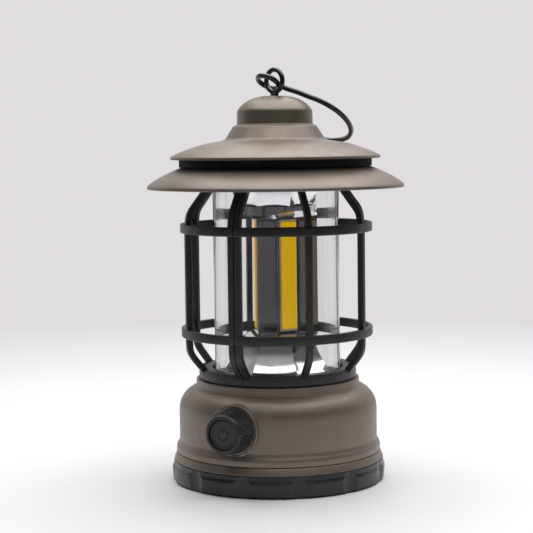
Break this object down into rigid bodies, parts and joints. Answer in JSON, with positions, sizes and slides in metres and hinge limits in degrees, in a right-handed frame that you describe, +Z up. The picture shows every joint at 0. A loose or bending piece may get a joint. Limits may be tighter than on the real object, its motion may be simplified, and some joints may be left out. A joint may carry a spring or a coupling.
{
  "type": "camping lantern",
  "caption": "Round battery lantern with a stepped double hood, a wire hook, a barred cage around a clear globe, a mirror column with light strips, and a base with a dimmer knob.",
  "frame": {"origin": "on the lantern's axis at the surface it stands on", "axes": "+Z up along the lantern's axis; -Y towards the dimmer knob; +X to the right seen from the knob side"},
  "size_m": [0.13, 0.13, 0.2091],
  "materials": {
    "taupe_paint": "satin taupe metallic paint",
    "black_plastic": "satin moulded black",
    "black_rubber": "matt",
    "clear_plastic": "clear polished",
    "mirror_plastic": "vacuum metallised mirror",
    "led_phosphor": "yellow silicone phosphor, unlit",
    "led_board": "white solder mask",
    "circuit_board": "green solder mask",
    "steel": "zinc plated",
    "cell_wrap": "gloss wrapped steel can",
    "black_wire": "gloss black coated steel wire"
  },
  "bodies": {
    "lantern": {"base_flange": "taupe_paint", "base_housing": "taupe_paint", "deck_screw_1": "steel", "deck_screw_2": "steel", "deck_screw_3": "steel", "deck_screw_4": "steel", "battery_tray": "black_plastic", "battery_cell_1": "cell_wrap", "battery_cell_2": "cell_wrap", "battery_cell_3": "cell_wrap", "contact_spring_1": "steel", "contact_spring_2": "steel", "contact_spring_3": "steel", "contact_plate_1": "steel", "contact_plate_2": "steel", "contact_plate_3": "steel", "driver_board": "circuit_board", "board_screw_1": "steel", "board_screw_2": "steel", "dimmer_body": "steel", "dimmer_nut": "steel", "cage_left": "black_plastic", "cage_right": "black_plastic", "globe": "clear_plastic", "lower_reflector": "mirror_plastic", "reflector_column": "mirror_plastic", "upper_reflector": "mirror_plastic", "led_board_1": "led_board", "led_board_2": "led_board", "led_board_3": "led_board", "led_strip_1": "led_phosphor", "led_strip_2": "led_phosphor", "led_strip_3": "led_phosphor", "top_plate": "black_plastic", "crown_screw_1": "steel", "crown_screw_2": "steel", "crown_screw_3": "steel", "crown_screw_4": "steel", "lower_hood": "taupe_paint", "hood_spacer": "black_plastic", "upper_hood": "taupe_paint", "hood_screw_1": "steel", "hood_screw_2": "steel", "hood_screw_3": "steel", "light_lead_1": "black_rubber", "light_lead_2": "black_rubber", "hanger_eye": "black_wire", "eye_washer": "steel", "eye_nut": "steel"},
    "foot": {"foot_cover": "black_plastic", "foot_pad_1": "black_rubber", "foot_pad_2": "black_rubber", "foot_pad_3": "black_rubber", "foot_pad_4": "black_rubber"},
    "knob": {"control_knob": "black_plastic", "knob_cap": "black_plastic", "dimmer_shaft": "steel"},
    "hook": {"hook": "black_wire"}
  },
  "joints": [
    {"name": "foot_twist", "type": "hinge", "parent": "lantern", "child": "foot", "pos_m": [0, 0, 0.01], "axis": [0, 0, 1], "range_deg": [0, 30]},
    {"name": "knob_turn", "type": "hinge", "parent": "lantern", "child": "knob", "pos_m": [0, -0.056, 0.0323], "axis": [0, -1, 0], "range_deg": [0, 270]},
    {"name": "hook_swing", "type": "hinge", "parent": "lantern", "child": "hook", "pos_m": [-0.00164, -0.00096, 0.20489], "axis": [0.9177, 0.1712, 0.3584], "range_deg": [0, 120]}
  ]
}
